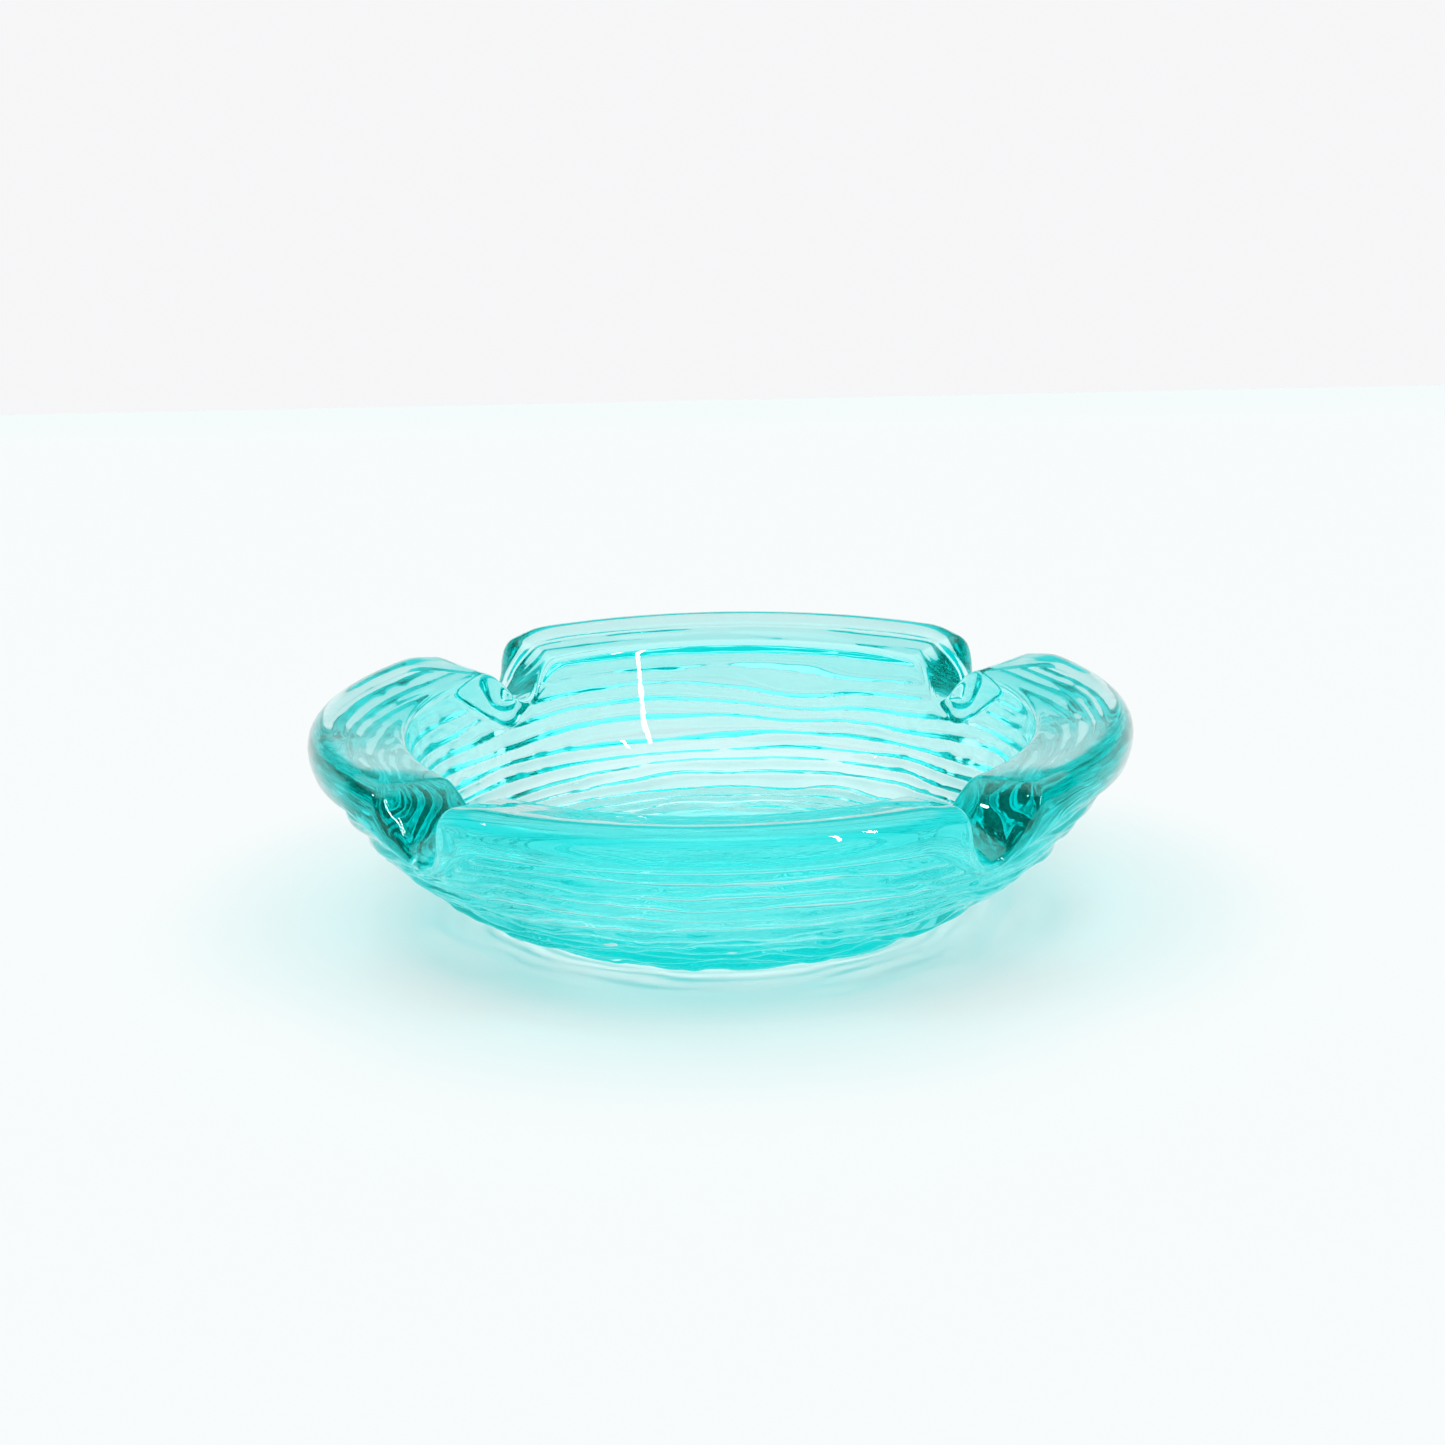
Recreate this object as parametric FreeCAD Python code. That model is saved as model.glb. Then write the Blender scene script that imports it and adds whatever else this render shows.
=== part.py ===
"""Small round pressed-glass ashtray, one solid piece.

Millimetres.  The dish stands on z = 0 with its axis on +Z.  The four rests
lie on the X and Y axes, so the four raised rim segments are centred on the
diagonals.
"""
import FreeCAD, Part
import math
import os

# Overall dish
HEIGHT = 26.2
RIM_CORNER_RISE = 0.53  # the rounding takes this much off the sharp rim corner
RIM_INNER_RADIUS = 41.0
RIM_TOP_SLOPE = 9.5  # degrees, the rim top falls towards the bowl
RIM_OUTER_ROUNDING = 1.8
RIM_INNER_ROUNDING = 1.2

# Outer wall, a single bulging arc from foot to rim
FOOT_RADIUS = 27.4
WALL_ARC_CENTRE_RADIUS = 12.2
WALL_ARC_CENTRE_HEIGHT = 43.26
WALL_ARC_RADIUS = 45.87

# Smooth inside
WALL_FOOT_RADIUS = 37.6
WALL_FOOT_HEIGHT = 10.4
FLOOR_EDGE_RADIUS = 33.0
FLOOR_EDGE_HEIGHT = 5.5
FLOOR_HEIGHT = 4.5
FLOOR_EDGE_ROUNDING = 6.0
WALL_FOOT_ROUNDING = 9.0

# Foot ring and recessed underside
FOOT_RING_WIDTH = 4.0
RECESS_DEPTH = 0.9
BASE_RING_PITCH = 2.9
BASE_RING_HEIGHT = 0.5

# Ridges of the outer wall, convex bands with sharp valleys between them
RIDGE_PITCH = 2.6
RIDGE_HEIGHT = 0.75
LOWEST_RIDGE = 0.9
FULL_RING_HEIGHT = 14.4  # rings below this height run all the way round
SHORT_RIDGES = [  # low edge, high edge, sweep in degrees on each rim segment
    (14.4, 16.9, 74.0),
    (16.9, 19.4, 66.0),
    (19.4, 21.9, 54.0),
]

# Four rests across the rim
REST_COUNT = 4
REST_INNER_PLANE = 34.0
REST_INNER_FLOOR = 21.8
REST_INNER_BOTTOM_RADIUS = 2.4
REST_INNER_SIDE_ANGLE = 50.0  # degrees above level
REST_OUTER_PLANE = 58.0
REST_OUTER_FLOOR = 15.0
REST_OUTER_BOTTOM_RADIUS = 3.6
REST_OUTER_SIDE_ANGLE = 70.0
REST_TOOL_TOP = 40.0
REST_SHOULDER_ROUNDING = 3.0

ORIGIN = FreeCAD.Vector(0, 0, 0)
UP = FreeCAD.Vector(0, 0, 1)
TOUCHING = 0.02


def at(radius, height):
    """Point of the half section, radius along X."""
    return FreeCAD.Vector(radius, 0, height)


def arc_through(a, b, c):
    return Part.Arc(a, b, c).toShape()


def line(a, b):
    return Part.LineSegment(a, b).toShape()


def wall_angle(height):
    """Direction of a wall point seen from the wall arc's centre, in degrees."""
    return math.degrees(math.asin((height - WALL_ARC_CENTRE_HEIGHT) / WALL_ARC_RADIUS))


def wall_point(degrees, outward=0.0):
    angle = math.radians(degrees)
    reach = WALL_ARC_RADIUS + outward
    radius = WALL_ARC_CENTRE_RADIUS + reach * math.cos(angle)
    return at(radius, WALL_ARC_CENTRE_HEIGHT + reach * math.sin(angle))


RIM_OUTER = wall_point(wall_angle(HEIGHT + RIM_CORNER_RISE))
RIM_FALL = (RIM_OUTER.x - RIM_INNER_RADIUS) * math.tan(math.radians(RIM_TOP_SLOPE))
RIM_INNER = at(RIM_INNER_RADIUS, RIM_OUTER.z - RIM_FALL)
WALL_FOOT = at(WALL_FOOT_RADIUS, WALL_FOOT_HEIGHT)
FLOOR_EDGE = at(FLOOR_EDGE_RADIUS, FLOOR_EDGE_HEIGHT)


def turned(shape, degrees):
    copy = shape.copy()
    copy.rotate(ORIGIN, UP, degrees)
    return copy


def revolve(edges, sweep=360.0, start=0.0):
    face = Part.Face(Part.Wire(edges))
    return turned(face.revolve(ORIGIN, UP, sweep), start)


def smooth_dish():
    """The dish as a plain turned form with sharp rim edges."""
    wall_middle = wall_point(0.5 * (wall_angle(0) + wall_angle(RIM_OUTER.z)))
    foot_outer = at(FOOT_RADIUS, 0)
    foot_inner = at(FOOT_RADIUS - FOOT_RING_WIDTH, 0)
    recess_edge = at(foot_inner.x - RECESS_DEPTH, RECESS_DEPTH)
    recess_centre = at(0, RECESS_DEPTH)
    floor_centre = at(0, FLOOR_HEIGHT)
    edges = [
        line(recess_centre, recess_edge),
        line(recess_edge, foot_inner),
        line(foot_inner, foot_outer),
        arc_through(foot_outer, wall_middle, RIM_OUTER),
        line(RIM_OUTER, RIM_INNER),
        line(RIM_INNER, WALL_FOOT),
        line(WALL_FOOT, FLOOR_EDGE),
        line(FLOOR_EDGE, floor_centre),
        line(floor_centre, recess_centre),
    ]
    dish = revolve(edges)
    dish = round_ring(dish, FLOOR_EDGE, FLOOR_EDGE_ROUNDING)
    return round_ring(dish, WALL_FOOT, WALL_FOOT_ROUNDING)


def round_ring(solid, corner, radius):
    """Round the full circular edge through one corner of the half section."""
    rings = []
    for edge in solid.Edges:
        if not isinstance(edge.Curve, Part.Circle):
            continue
        size_gap = abs(edge.Curve.Radius - corner.x)
        height_gap = abs(edge.Curve.Center.z - corner.z)
        if max(size_gap, height_gap) < TOUCHING:
            rings.append(edge)
    return solid.makeFillet(radius, rings)


def rest_wire(plane, floor, bottom_radius, side_angle):
    """Closed section of one rest: rounded bottom and two sloping sides."""
    slope = math.radians(side_angle)
    side_y = bottom_radius * math.sin(slope)
    side_z = floor + bottom_radius * (1 - math.cos(slope))
    top_y = side_y + (REST_TOOL_TOP - side_z) / math.tan(slope)
    left_top = FreeCAD.Vector(plane, -top_y, REST_TOOL_TOP)
    left = FreeCAD.Vector(plane, -side_y, side_z)
    bottom = FreeCAD.Vector(plane, 0, floor)
    right = FreeCAD.Vector(plane, side_y, side_z)
    right_top = FreeCAD.Vector(plane, top_y, REST_TOOL_TOP)
    edges = [
        line(left_top, left),
        arc_through(left, bottom, right),
        line(right, right_top),
        line(right_top, left_top),
    ]
    return Part.Wire(edges)


def cut_rests(dish):
    inner = rest_wire(
        REST_INNER_PLANE, REST_INNER_FLOOR, REST_INNER_BOTTOM_RADIUS, REST_INNER_SIDE_ANGLE
    )
    outer = rest_wire(
        REST_OUTER_PLANE, REST_OUTER_FLOOR, REST_OUTER_BOTTOM_RADIUS, REST_OUTER_SIDE_ANGLE
    )
    tool = Part.makeLoft([inner, outer], True, True)
    for number in range(REST_COUNT):
        dish = dish.cut(turned(tool, 360 / REST_COUNT * number))
    return dish


def edge_samples(edge):
    """Radius and height of three points along an edge."""
    span = edge.LastParameter - edge.FirstParameter
    points = [edge.valueAt(edge.FirstParameter + part * span) for part in (0.1, 0.5, 0.9)]
    return [(math.hypot(point.x, point.y), point.z) for point in points]


def off_rim_top(radius, height):
    on_top = RIM_OUTER.z - (RIM_OUTER.x - radius) * math.tan(math.radians(RIM_TOP_SLOPE))
    return abs(height - on_top)


def off_outer_wall(radius, height):
    from_centre = math.hypot(radius - WALL_ARC_CENTRE_RADIUS, height - WALL_ARC_CENTRE_HEIGHT)
    return abs(from_centre - WALL_ARC_RADIUS)


def off_bowl_wall(radius, height):
    part = (height - WALL_FOOT.z) / (RIM_INNER.z - WALL_FOOT.z)
    return abs(radius - WALL_FOOT.x - part * (RIM_INNER.x - WALL_FOOT.x))


def is_seam(edge):
    """The turned faces close on a seam in the XZ plane."""
    return all(abs(vertex.Point.y) < TOUCHING for vertex in edge.Vertexes)


def round_shoulders(dish):
    """Round the two long upper edges of every rest."""
    edges = []
    for edge in dish.Edges:
        samples = edge_samples(edge)
        across = max(radius for radius, _ in samples) - min(radius for radius, _ in samples)
        if across > 1 and all(off_rim_top(*sample) < TOUCHING for sample in samples):
            edges.append(edge)
    return dish.makeFillet(REST_SHOULDER_ROUNDING, edges)


def round_loop(dish, off_face, radius):
    """Round the closed loop where one wall meets the rim segments and the rests."""
    lowest = min(REST_INNER_FLOOR, REST_OUTER_FLOOR) - 2
    edges = []
    for edge in dish.Edges:
        samples = edge_samples(edge)
        on_wall = all(off_face(*sample) < TOUCHING for sample in samples)
        high = all(height > lowest for _, height in samples)
        if on_wall and high and not is_seam(edge):
            edges.append(edge)
    return dish.makeFillet(radius, edges)


def scallops(first, last, count):
    """Convex arcs following the outer wall, from one wall direction to another."""
    step = (last - first) / count
    arcs = []
    for number in range(count):
        start = wall_point(first + number * step, -RIDGE_HEIGHT)
        crest = wall_point(first + (number + 0.5) * step)
        end = wall_point(first + (number + 1) * step, -RIDGE_HEIGHT)
        arcs.append(arc_through(start, crest, end))
    return arcs


def band_tool(low, high, sweep=360.0, start=0.0):
    """Ring of material to remove so the wall between two heights becomes bands."""
    first = wall_angle(low)
    last = wall_angle(high)
    length = math.radians(last - first) * WALL_ARC_RADIUS
    clear = 3.0
    edges = scallops(first, last, max(1, round(length / RIDGE_PITCH)))
    edges.append(line(wall_point(last, -RIDGE_HEIGHT), wall_point(last, clear)))
    outside = wall_point(0.5 * (first + last), clear)
    edges.append(arc_through(wall_point(last, clear), outside, wall_point(first, clear)))
    edges.append(line(wall_point(first, clear), wall_point(first, -RIDGE_HEIGHT)))
    return revolve(edges, sweep, start)


def base_ring_tool():
    """Material to remove so the recessed underside carries shallow convex rings."""
    outer_radius = FOOT_RADIUS - FOOT_RING_WIDTH - RECESS_DEPTH
    valley = RECESS_DEPTH + BASE_RING_HEIGHT
    below = -1.0
    count = round(outer_radius / BASE_RING_PITCH)
    step = outer_radius / count
    edges = []
    for number in range(count):
        crest = at((number + 0.5) * step, RECESS_DEPTH)
        edges.append(arc_through(at(number * step, valley), crest, at((number + 1) * step, valley)))
    edges.append(line(at(outer_radius, valley), at(outer_radius, below)))
    edges.append(line(at(outer_radius, below), at(0, below)))
    edges.append(line(at(0, below), at(0, valley)))
    return revolve(edges)


def cut_ridges(dish):
    dish = dish.cut(band_tool(LOWEST_RIDGE, FULL_RING_HEIGHT))
    for number in range(REST_COUNT):
        middle = 360 / REST_COUNT * (number + 0.5)
        for low, high, sweep in SHORT_RIDGES:
            dish = dish.cut(band_tool(low, high, sweep, middle - 0.5 * sweep))
    return dish.cut(base_ring_tool())


def main():
    dish = cut_rests(smooth_dish())
    dish = round_shoulders(dish)
    dish = round_loop(dish, off_outer_wall, RIM_OUTER_ROUNDING)
    dish = round_loop(dish, off_bowl_wall, RIM_INNER_ROUNDING)
    dish = cut_ridges(dish)
    os.makedirs("parts", exist_ok=True)
    dish.exportStep("parts/glass_dish.step")
    box = dish.optimalBoundingBox()
    print("valid", dish.isValid(), "solids", len(dish.Solids), "volume", round(dish.Volume))
    print("size", round(box.XLength, 2), round(box.YLength, 2), round(box.ZLength, 2))


main()
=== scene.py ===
import math

import bpy
import numpy as np
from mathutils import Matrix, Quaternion, Vector


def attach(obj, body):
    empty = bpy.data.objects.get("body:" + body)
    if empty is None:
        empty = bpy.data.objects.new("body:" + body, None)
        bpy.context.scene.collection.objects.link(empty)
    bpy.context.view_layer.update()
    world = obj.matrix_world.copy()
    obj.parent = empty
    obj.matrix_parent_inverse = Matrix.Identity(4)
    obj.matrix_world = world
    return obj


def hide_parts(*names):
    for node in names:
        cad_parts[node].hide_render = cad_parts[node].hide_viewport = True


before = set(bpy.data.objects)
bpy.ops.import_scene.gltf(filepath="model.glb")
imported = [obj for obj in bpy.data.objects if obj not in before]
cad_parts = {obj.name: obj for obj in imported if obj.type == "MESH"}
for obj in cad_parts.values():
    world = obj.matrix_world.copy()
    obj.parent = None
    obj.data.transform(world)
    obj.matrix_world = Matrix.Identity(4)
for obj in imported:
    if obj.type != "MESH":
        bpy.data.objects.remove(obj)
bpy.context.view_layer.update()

MM = 0.001
SEED = 7

# Half section of the dish, millimetres, as (radius, height)
WALL_CENTRE = (12.2, 43.26)
WALL_RADIUS = 45.87
FOOT_RADIUS = 27.4
FOOT_INNER = 23.4
RECESS = 1.2
RIM_CORNER = (55.6, 27.0)
RIM_SLOPE = math.tan(math.radians(9.5))
BOWL = [(41.0, 24.43), (38.2, 10.4), (33.0, 5.3), (0.0, 4.2)]
BOWL_SOFTNESS = 2.4

# The smooth roll round the rim stands out of the wall and ends in a seam
ROLL_OUT = 0.8
SEAM_HEIGHT = (15.9, 21.0)  # below the rests, and along the segments
SEAM_ACROSS = (1.0, 14.0)
ROLL_LEAST = 1.2
ROLL_REACH = 5.2  # how far the roll runs in over the rim top
ROLL_SHARE = 0.45  # the most of the rim top that the roll may take
ROLL_WEIGHT = 0.64
LIP_SOFTNESS = 0.55
LIP_REACH = 1.4  # closely spaced rows this far on each side of the lip

# Rests: value at the inner plane, value at the outer plane
REST_PLANES = (34.0, 58.0)
REST_FLOOR = (22.4, 13.6)
REST_BOTTOM = (2.0, 3.6)
REST_SIDE = (46.0, 76.0)
REST_SHOULDER = 2.6

# Each segment's outer corners droop towards the rests
DROOP = 1.2
DROOP_ACROSS = (5.0, 12.5)
RIM_WIDTH = RIM_CORNER[0] - BOWL[0][0]

# Ridges pressed into the outside, and finer rings under the base
PITCH = 2.6
RIDGE_OUT = 0.3
RIDGE_DEPTH = 1.1
CREST_SWELL = 0.36
BEAD_SWELL = 0.16
CREST_POWER = 2.2  # higher makes flatter crests and narrower valleys
MEAN_DROP = 0.25
BASE_RING_SHARE = 0.45
RIDGES_FADE = 2.0  # the ridges die out over this distance below the seam
GROOVE_DEPTH = 0.35  # groove under the seam
GROOVE_BELOW = 1.1
GROOVE_WIDTH = 0.5

# Mesh rows from the centre of the underside, round the rim, to the centre of the bowl
COLUMNS_PER_QUARTER = 126
ROWS_BASE = 26
ROWS_FOOT = 9
ROWS_WALL = 98
ROWS_ROLL = 16
ROWS_TOP = 8
ROWS_LIP = 7
ROWS_BOWL_SIDE = 14
ROWS_BOWL_FLOOR = 14
BOWL_SIDE_SHARE = 0.42  # how much of the way from the lip to the centre counts as the side
CENTRE_GAP = 1.0  # the rows end this far from the axis, where a fan closes the mesh
POLYLINE_STEP = 0.08
NO_SEAM = 99.0  # distance to the seam given to rows under the base


def smoothstep(low, high, value):
    t = np.clip((value - low) / (high - low), 0.0, 1.0)
    return t * t * (3.0 - 2.0 * t)


def smooth_min(a, b, k):
    h = np.clip(0.5 + 0.5 * (b - a) / k, 0.0, 1.0)
    return b + (a - b) * h - k * h * (1.0 - h)


def between(pair, t):
    return pair[0] + (pair[1] - pair[0]) * t


def run(start, end, count):
    """Even row positions, without the last."""
    return np.linspace(start, end, count, endpoint=False)


def lengths(points):
    """Distance along a polyline at each of its points."""
    return np.concatenate([[0.0], np.cumsum(np.hypot(*np.diff(points, axis=0).T))])


def points_at(points, s):
    """Points of a polyline at distances s along it."""
    total = lengths(points)
    return np.stack([np.interp(s, total, points[:, k]) for k in (0, 1)], 1)


def softened(points, step, sigma):
    """A polyline resampled evenly and softened with a bell of the given width."""
    points = np.array(points, float)
    total = lengths(points)[-1]
    line = points_at(points, np.linspace(0.0, total, int(total / step) + 1))
    half = int(3 * sigma / step)
    bell = np.exp(-0.5 * (np.arange(-half, half + 1) * step / sigma) ** 2)
    bell /= bell.sum()
    before = 2 * line[0] - line[half:0:-1]
    after = 2 * line[-1] - line[-2:-half - 2:-1]
    padded = np.concatenate([before, line, after])
    return np.stack([np.convolve(padded[:, k], bell, "valid") for k in (0, 1)], 1)


def conic(start, corner, end, weight, count):
    """A rounding from start to end that leans on the corner."""
    t = np.linspace(0.0, 1.0, count)[:, None]
    a = (1 - t) ** 2
    b = 2 * weight * t * (1 - t)
    c = t ** 2
    return (a * start + b * corner + c * end) / (a + b + c)


def lattice_noise(theta, along, cells, pitch, rng):
    """Smooth noise between -1 and 1 that closes on itself round the dish."""
    rows = int(90.0 / pitch) + 4
    table = rng.uniform(-1.0, 1.0, (cells, rows))
    a = theta / (2 * math.pi) * cells
    b = along / pitch + 1.0
    a0 = np.floor(a).astype(int)
    b0 = np.clip(np.floor(b).astype(int), 0, rows - 2)
    fa = a - a0
    fb = b - b0
    fa = fa * fa * fa * (fa * (fa * 6 - 15) + 10)
    fb = fb * fb * fb * (fb * (fb * 6 - 15) + 10)
    a1 = (a0 + 1) % cells
    a0 = a0 % cells
    low = table[a0, b0] * (1 - fa) + table[a1, b0] * fa
    high = table[a0, b0 + 1] * (1 - fa) + table[a1, b0 + 1] * fa
    return low * (1 - fb) + high * fb


def wall_radius(z, out=0.0):
    """Radius of the outside at a height, from its big arc."""
    return WALL_CENTRE[0] + np.sqrt((WALL_RADIUS + out) ** 2 - (z - WALL_CENTRE[1]) ** 2)


def bowl_radius(z):
    """Radius of the straight upper wall of the bowl at a height."""
    t = (z - BOWL[1][1]) / (BOWL[0][1] - BOWL[1][1])
    return BOWL[1][0] + t * (BOWL[0][0] - BOWL[1][0])


def off_rest(theta):
    """Angle from the nearest rest's centre line."""
    return (theta + math.pi / 4) % (math.pi / 2) - math.pi / 4


def rest_height(along, across):
    """Height of a rest's trough: a round bottom between two straight sides."""
    t = (along - REST_PLANES[0]) / (REST_PLANES[1] - REST_PLANES[0])
    bottom = between(REST_BOTTOM, t)
    slope = np.radians(between(REST_SIDE, t))
    side = bottom * np.sin(slope)
    arc = between(REST_FLOOR, t) + bottom - np.sqrt(bottom ** 2 - np.minimum(across, side) ** 2)
    return arc + np.maximum(across - side, 0.0) * np.tan(slope)


def top_height(radius, theta):
    """Height of the rim top, with the rests blended in over round shoulders."""
    plain = RIM_CORNER[1] - (RIM_CORNER[0] - radius) * RIM_SLOPE
    off = off_rest(theta)
    across = np.abs(radius * np.sin(off))
    outward = np.clip((radius - BOWL[0][0]) / RIM_WIDTH, 0.0, 1.0)
    plain = plain - DROOP * outward * (1.0 - smoothstep(*DROOP_ACROSS, across))
    return smooth_min(plain, rest_height(radius * np.cos(off), across), REST_SHOULDER)


def top_corner(theta, radius_at):
    """Where the rim top meets the wall whose radius at a height is radius_at."""
    z = RIM_CORNER[1]
    for _ in range(60):
        z = 0.6 * z + 0.4 * float(top_height(radius_at(z), theta))
    return np.array([radius_at(z), z])


def columns():
    """Angles round the dish, closer together at the rests."""
    fine = np.linspace(0.0, math.pi / 2, 4001)
    off = np.minimum(fine, math.pi / 2 - fine)
    density = 1.0 + 1.3 * (1.0 - smoothstep(math.radians(9), math.radians(15), off))
    total = np.concatenate([[0.0], np.cumsum(0.5 * (density[1:] + density[:-1]))])
    quarter = np.interp(run(0.0, total[-1], COLUMNS_PER_QUARTER), total, fine)
    return np.concatenate([quarter + k * math.pi / 2 for k in range(4)])


def seam_height(theta, outer):
    """Height of the seam under the roll, which dips below each rest."""
    across = abs(outer[0] * math.sin(off_rest(theta)))
    height = between(SEAM_HEIGHT, float(smoothstep(*SEAM_ACROSS, across)))
    return min(height, outer[1] - ROLL_LEAST)


def wall_rows(seam):
    """Rows up the outside, each with its distance up the wall and to the seam."""
    z = np.linspace(0.0, seam, 240)
    wall = np.stack([wall_radius(z), z], 1)
    end = lengths(wall)[-1]
    s = run(0.0, end, ROWS_WALL)
    return np.column_stack([points_at(wall, s), s, end - s])


def rim_and_bowl_rows(theta, outer, seam, bowl):
    """Rows from the seam over the roll, the rim top and the lip, down into the bowl."""
    inner = top_corner(theta, bowl_radius)
    radius = np.linspace(outer[0], inner[0], 200)
    top = np.stack([radius, top_height(radius, theta)], 1)
    top_s = lengths(top)
    start = np.array([wall_radius(seam, ROLL_OUT), seam])
    reach = min(ROLL_REACH, outer[1] - seam, ROLL_SHARE * top_s[-1])
    arc = conic(start, outer, points_at(top, np.array([reach]))[0], ROLL_WEIGHT, 60)
    below = bowl[bowl[:, 1] < inner[1] - 0.05]
    path = softened(np.concatenate([arc, top[top_s > reach], below]), POLYLINE_STEP, LIP_SOFTNESS)
    arc_end = lengths(arc)[-1]
    lip = arc_end + top_s[-1] - reach
    end = lengths(path)[-1] - CENTRE_GAP
    bend = lip + LIP_REACH + BOWL_SIDE_SHARE * (end - lip)
    s = np.concatenate([
        run(0.0, arc_end, ROWS_ROLL),
        run(arc_end, lip - LIP_REACH, ROWS_TOP),
        run(lip - LIP_REACH, lip + LIP_REACH, ROWS_LIP),
        run(lip + LIP_REACH, bend, ROWS_BOWL_SIDE),
        run(bend, end, ROWS_BOWL_FLOOR),
        [end],
    ])
    return points_at(path, s)


def band_noise(theta, band, cells, rng):
    """Smooth noise along each ridge by itself, between -1 and 1."""
    table = rng.uniform(-1.0, 1.0, (cells, 64))
    a = theta / (2 * math.pi) * cells
    a0 = np.floor(a).astype(int)
    f = a - a0
    f = f * f * (3 - 2 * f)
    row = np.clip(band, 0, 63)
    return table[a0 % cells, row] * (1 - f) + table[(a0 + 1) % cells, row] * f


def ridge_drop(theta, u, rng):
    """How far the ridged outside lies inside its crests: uneven, wandering bands."""
    warp = 0.55 * lattice_noise(theta, u, 9, 9.0, rng)
    warp += 0.30 * lattice_noise(theta, u, 29, 4.5, rng)
    phase = u / PITCH + warp + 1.0
    band = np.floor(phase).astype(int)
    crest = 1.0 - np.abs(2.0 * (phase - band) - 1.0) ** CREST_POWER
    depth = 0.7 + 0.3 * lattice_noise(theta, u, 23, 3.4, rng)
    swell = CREST_SWELL * band_noise(theta, band, 34, rng)
    swell += BEAD_SWELL * band_noise(theta, band, 110, rng)
    return RIDGE_DEPTH * depth * (1.0 - crest) - swell * crest + MEAN_DROP


def ridged(outside, u, to_seam, theta, rng):
    """Move the outside rows along their normals to form the ridges, seam and base rings."""
    tangent = np.gradient(outside, axis=1)
    tangent /= np.maximum(np.hypot(tangent[..., 0], tangent[..., 1]), 1e-9)[..., None]
    normal = np.stack([tangent[..., 1], -tangent[..., 0]], -1)
    drop = ridge_drop(theta, u, rng)
    on_wall = smoothstep(FOOT_RADIUS, FOOT_RADIUS + 2.0, u)
    in_recess = 1.0 - smoothstep(FOOT_INNER - 2.5, FOOT_INNER - 0.5, u)
    below_seam = smoothstep(0.0, RIDGES_FADE, to_seam)
    move = (RIDGE_OUT - drop) * below_seam * on_wall
    move += ROLL_OUT * (1.0 - smoothstep(0.0, 0.9, to_seam))
    move -= GROOVE_DEPTH * np.exp(-((to_seam - GROOVE_BELOW) / GROOVE_WIDTH) ** 2)
    move -= BASE_RING_SHARE * drop * in_recess
    moved = outside + normal * move[..., None]
    moved[..., 1] = np.maximum(moved[..., 1], 0.0)
    return moved


def dish_rows():
    """Every row of the dish at every angle, as (radius, height)."""
    rng = np.random.default_rng(SEED)
    angles = columns()
    bowl = softened(BOWL, POLYLINE_STEP, BOWL_SOFTNESS)
    walls = []
    insides = []
    for angle in angles:
        outer = top_corner(angle, lambda z: wall_radius(z, ROLL_OUT))
        seam = seam_height(angle, outer)
        walls.append(wall_rows(seam))
        insides.append(rim_and_bowl_rows(angle, outer, seam, bowl))
    walls = np.array(walls)
    recess_edge = FOOT_INNER - RECESS
    under_r = np.concatenate([run(CENTRE_GAP, recess_edge, ROWS_BASE),
                              run(recess_edge, FOOT_RADIUS, ROWS_FOOT)])
    under_z = np.interp(under_r, [recess_edge, FOOT_INNER], [RECESS, 0.0])
    under = np.repeat(np.column_stack([under_r, under_z])[None], len(angles), 0)
    outside = np.concatenate([under, walls[..., :2]], 1)
    u = np.concatenate([under[..., 0], FOOT_RADIUS + walls[..., 2]], 1)
    to_seam = np.concatenate([np.full(under.shape[:2], NO_SEAM), walls[..., 3]], 1)
    theta = np.repeat(angles[:, None], outside.shape[1], 1)
    outside = ridged(outside, u, to_seam, theta, rng)
    return angles, np.concatenate([outside, np.array(insides)], 1)


def make_dish():
    """One closed mesh: a grid of rows and columns with a fan at each pole."""
    angles, rows = dish_rows()
    count, n = rows.shape[:2]
    x = rows[..., 0] * np.cos(angles)[:, None]
    y = rows[..., 0] * np.sin(angles)[:, None]
    verts = np.stack([x, y, rows[..., 1]], -1).reshape(-1, 3)
    poles = [[0.0, 0.0, rows[:, 0, 1].mean()], [0.0, 0.0, BOWL[-1][1]]]
    verts = np.concatenate([verts, poles]) * MM
    i = np.arange(count)[:, None]
    j = np.arange(n - 1)[None, :]
    i2 = (i + 1) % count
    quads = np.stack([i * n + j, i2 * n + j, i2 * n + j + 1, i * n + j + 1], -1)
    faces = [tuple(q) for q in quads.reshape(-1, 4).tolist()]
    low_pole = len(verts) - 2
    high_pole = len(verts) - 1
    for k in range(count):
        k2 = (k + 1) % count
        faces.append((low_pole, k2 * n, k * n))
        faces.append((high_pole, k * n + n - 1, k2 * n + n - 1))
    mesh = bpy.data.meshes.new("glass_body")
    mesh.from_pydata(verts.tolist(), [], faces)
    mesh.update()
    mesh.polygons.foreach_set("use_smooth", [True] * len(mesh.polygons))
    return linked("glass_body", mesh)


def linked(name, data):
    thing = bpy.data.objects.new(name, data)
    bpy.context.collection.objects.link(thing)
    return thing


# Aqua glass, with the faint waviness of a pressed surface
GLASS_COLOUR = (0.02, 0.925, 0.918, 1)
GLASS_DENSITY = 102.0
GLASS_IOR = 1.52
RIPPLE_SCALE = 110.0  # noise cells in a metre
RIPPLE_HEIGHT = 0.00012


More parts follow.
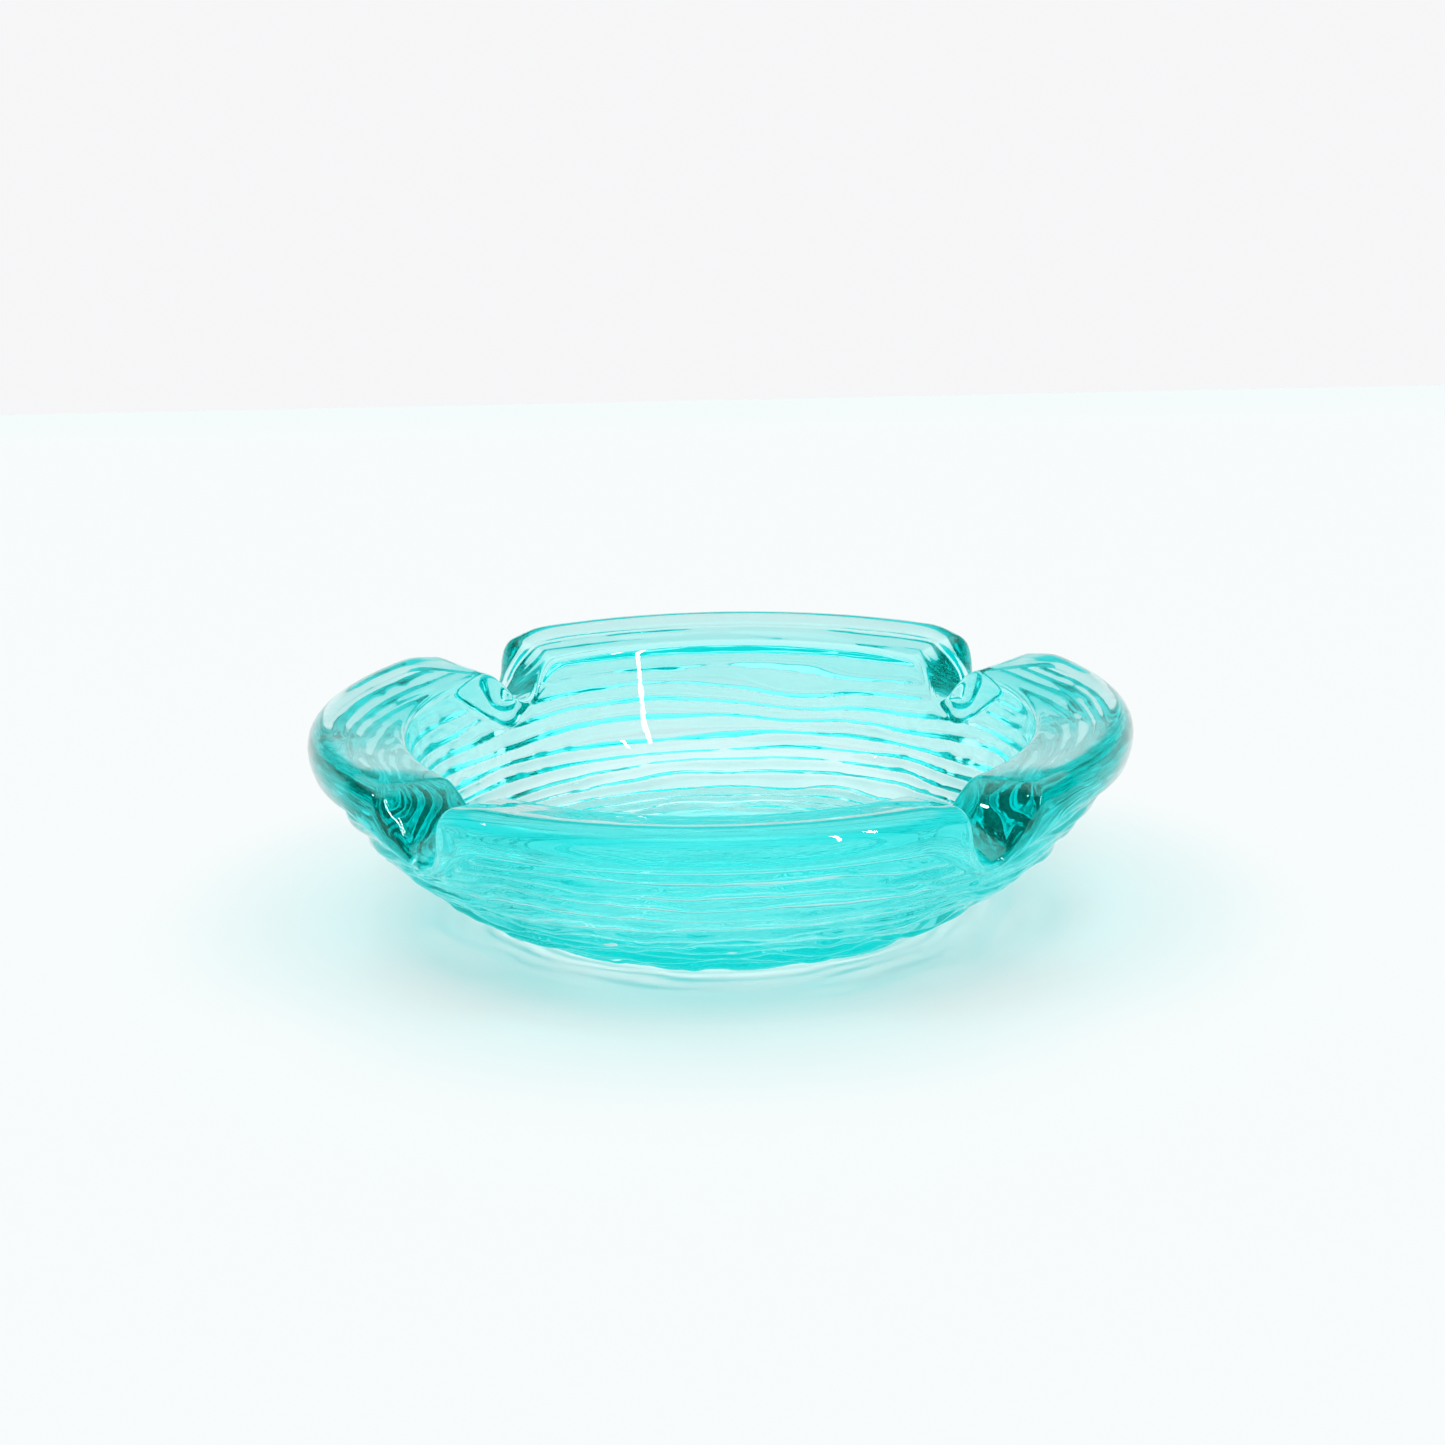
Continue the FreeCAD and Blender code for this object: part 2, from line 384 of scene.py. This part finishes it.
def glass_material():
    """Clear aqua glass: the colour comes from absorption along the light's path."""
    mat = bpy.data.materials.new("aqua_glass")
    mat.use_nodes = True
    nodes = mat.node_tree.nodes
    bsdf = nodes["Principled BSDF"]
    bsdf.inputs["Base Color"].default_value = (1, 1, 1, 1)
    bsdf.inputs["Roughness"].default_value = 0.0
    bsdf.inputs["IOR"].default_value = GLASS_IOR
    bsdf.inputs["Transmission Weight"].default_value = 1.0
    links = mat.node_tree.links
    place = nodes.new("ShaderNodeTexCoord").outputs["Object"]
    noise = nodes.new("ShaderNodeTexNoise")
    noise.inputs["Scale"].default_value = RIPPLE_SCALE
    noise.inputs["Detail"].default_value = 2.0
    bump = nodes.new("ShaderNodeBump")
    bump.inputs["Distance"].default_value = RIPPLE_HEIGHT
    links.new(place, noise.inputs["Vector"])
    links.new(noise.outputs["Fac"], bump.inputs["Height"])
    links.new(bump.outputs["Normal"], bsdf.inputs["Normal"])
    volume = nodes.new("ShaderNodeVolumeAbsorption")
    volume.inputs["Color"].default_value = GLASS_COLOUR
    volume.inputs["Density"].default_value = GLASS_DENSITY
    links.new(volume.outputs["Volume"], nodes["Material Output"].inputs["Volume"])
    return mat


# The camera looks at the middle of one segment, from a little above the rim
VIEW_ANGLE = math.radians(48.3)
VIEW_PITCH = 0.2773
VIEW_ROLL = 0.0208
VIEW_DISTANCE = 0.5605
VIEW_ASIDE = 0.0003
VIEW_HEIGHT = 0.1841
VIEW_LENS = 111.1
RIGHT = Vector((math.cos(VIEW_ANGLE), math.sin(VIEW_ANGLE), 0))
NEAR = Vector((math.sin(VIEW_ANGLE), -math.cos(VIEW_ANGLE), 0))
TABLE_HALF = 3.0
TABLE_EDGE = -0.325
# Width of the painted shade that darkens the table towards its far edge
EDGE_SHADE_WIDTH = 0.045
TABLE_HEIGHT = -0.0001  # a hair under the foot, so that glass and table never share a plane
TABLE_WHITE = (0.9, 0.858, 0.858, 1)  # a little warm, to cancel the teal cast of the surroundings
# Painted shade: the darker colour the table takes along its far edge
EDGE_PAINTED_SHADE = (0.865, 0.865, 0.87, 1)


def make_table():
    """A pale table whose far edge stands in front of the pale surroundings."""
    corners = [RIGHT * side * TABLE_HALF + NEAR * near + Vector((0, 0, TABLE_HEIGHT))
               for side, near in ((-1, TABLE_HALF), (1, TABLE_HALF), (1, TABLE_EDGE), (-1, TABLE_EDGE))]
    mesh = bpy.data.meshes.new("table_top")
    mesh.from_pydata([tuple(c) for c in corners], [], [(0, 1, 2, 3)])
    table = linked("table_top", mesh)
    table.data.materials.append(table_material())


def direction_ramp(tree, vector, direction, start, end):
    """A node that ramps smoothly from 0 to 1 as a vector goes further along a direction."""
    dot = tree.nodes.new("ShaderNodeVectorMath")
    dot.operation = "DOT_PRODUCT"
    dot.inputs[1].default_value = direction
    ramp = tree.nodes.new("ShaderNodeMapRange")
    ramp.interpolation_type = "SMOOTHSTEP"
    ramp.inputs["From Min"].default_value = start
    ramp.inputs["From Max"].default_value = end
    tree.links.new(vector, dot.inputs[0])
    tree.links.new(dot.outputs["Value"], ramp.inputs["Value"])
    return ramp.outputs["Result"]


def colour_mix(tree, factor, first, second):
    """A node that mixes two colours, each a plain value or another node's output."""
    mix = tree.nodes.new("ShaderNodeMix")
    mix.data_type = "RGBA"
    tree.links.new(factor, mix.inputs[0])
    for socket, value in ((mix.inputs[6], first), (mix.inputs[7], second)):
        if isinstance(value, tuple):
            socket.default_value = value
        else:
            tree.links.new(value, socket)
    return mix.outputs[2]


def table_material():
    """Matt white with painted shade: it darkens a little towards the table's far edge, standing in for
    the shade of a rounded edge that the flat table does not have.
    """
    mat = bpy.data.materials.new("table_white")
    mat.use_nodes = True
    tree = mat.node_tree
    bsdf = tree.nodes["Principled BSDF"]
    bsdf.inputs["Roughness"].default_value = 0.8
    bsdf.inputs["Specular IOR Level"].default_value = 0.2
    place = tree.nodes.new("ShaderNodeTexCoord").outputs["Object"]
    # Painted shade: the colour goes from the darker edge colour at the far edge to the plain white over
    # this width
    ramp = direction_ramp(tree, place, NEAR, TABLE_EDGE, TABLE_EDGE + EDGE_SHADE_WIDTH)
    tree.links.new(colour_mix(tree, ramp, EDGE_PAINTED_SHADE, TABLE_WHITE), bsdf.inputs["Base Color"])
    return mat


# Surroundings: bright overhead, a pale wall behind with a dimmer band over it, dim towards the camera.
# The band and the dim part are tinted teal, so the glass looks deeper than it would under plain white.
SKY_TOP = (1.81, 1.81, 1.81, 1)
SKY_BAND = (0.3, 0.44, 0.44, 1)
SKY_DIM = (0.03, 0.34, 0.34, 1)
BEHIND = (0.15, 0.6)  # where the surroundings turn from dim to bright, going away from the camera
HORIZON = (-0.03, 0.0)  # heights at which one part of the surroundings gives way to the next
WALL_TOP = (0.18, 0.36)
OVERHEAD = (0.55, 0.8)
WALL = (0.925, 0.925, 0.94, 1)
# Softboxes: degrees right of the camera and above the table, then width and height in metres
SOFTBOXES = [(31.0, 20.0, 0.045, 0.6), (42.0, 30.0, 0.04, 0.3), (-75.0, 35.0, 0.03, 0.08)]
SOFTBOX_DISTANCE = 1.3
SOFTBOX_POWER = 140.0  # watts for each square metre


def make_light():
    world = bpy.data.worlds.new("studio")
    bpy.context.scene.world = world
    world.use_nodes = True
    tree = world.node_tree
    way = tree.nodes.new("ShaderNodeTexCoord").outputs["Generated"]
    up = Vector((0, 0, 1))
    behind = direction_ramp(tree, way, -NEAR, *BEHIND)
    above = direction_ramp(tree, way, up, *HORIZON)
    over_wall = direction_ramp(tree, way, up, *WALL_TOP)
    overhead = direction_ramp(tree, way, up, *OVERHEAD)
    far = colour_mix(tree, over_wall, WALL, colour_mix(tree, overhead, SKY_BAND, SKY_TOP))
    near = colour_mix(tree, overhead, SKY_DIM, SKY_TOP)
    sky = colour_mix(tree, behind, near, far)
    tree.links.new(colour_mix(tree, above, WALL, sky), tree.nodes["Background"].inputs["Color"])
    for number, box in enumerate(SOFTBOXES):
        make_softbox(f"softbox_{number + 1}", *box)


def make_softbox(name, turn, lift, width, height):
    """A slim light that shows only as a sharp reflection in the glass."""
    turn = math.radians(turn)
    lift = math.radians(lift)
    light = bpy.data.lights.new(name, "AREA")
    light.shape = "RECTANGLE"
    light.size = width
    light.size_y = height
    light.energy = SOFTBOX_POWER * width * height
    lamp = linked(name, light)
    flat = NEAR * math.cos(turn) + RIGHT * math.sin(turn)
    way = flat * math.cos(lift) + Vector((0, 0, math.sin(lift)))
    lamp.location = way * SOFTBOX_DISTANCE
    lamp.rotation_mode = "QUATERNION"
    lamp.rotation_quaternion = (-way).to_track_quat("-Z", "Y")
    lamp.visible_diffuse = False
    lamp.visible_transmission = False


def make_camera():
    data = bpy.data.cameras.new("camera")
    data.lens = VIEW_LENS
    data.sensor_width = 36.0
    cam = linked("camera", data)
    look = -NEAR * math.cos(VIEW_PITCH) + Vector((0, 0, -math.sin(VIEW_PITCH)))
    cam.location = NEAR * VIEW_DISTANCE + RIGHT * VIEW_ASIDE + Vector((0, 0, VIEW_HEIGHT))
    cam.rotation_mode = "QUATERNION"
    cam.rotation_quaternion = Quaternion(look, VIEW_ROLL) @ look.to_track_quat("-Z", "Y")
    bpy.context.scene.camera = cam


# Photographic tone curve: light in the scene against light shown
TONE_WHITE = 1.1
TONE_POINTS = [(0.05, 0.028), (0.15, 0.125), (0.32, 0.41), (0.5, 0.62),
               (0.7, 0.75), (0.85, 0.848), (0.95, 0.945)]


def make_render_settings():
    """The tone curve, and enough bounces for light that stays long inside the glass."""
    view = bpy.context.scene.view_settings
    view.view_transform = "Standard"
    view.use_curve_mapping = True
    tone = view.curve_mapping
    tone.white_level = (TONE_WHITE, TONE_WHITE, TONE_WHITE)
    curve = tone.curves[3]
    for light, shown in TONE_POINTS:
        curve.points.new(light / TONE_WHITE, shown)
    curve.points[-1].location = (1.0, 1.0)
    tone.update()
    cycles = bpy.context.scene.cycles
    cycles.max_bounces = 48
    cycles.glossy_bounces = 40
    cycles.transmission_bounces = 40
    cycles.diffuse_bounces = 6
    cycles.blur_glossy = 0.0


body = make_dish()
body.data.materials.append(glass_material())
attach(body, "root")
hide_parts("glass_dish")
make_table()
make_light()
make_camera()
make_render_settings()
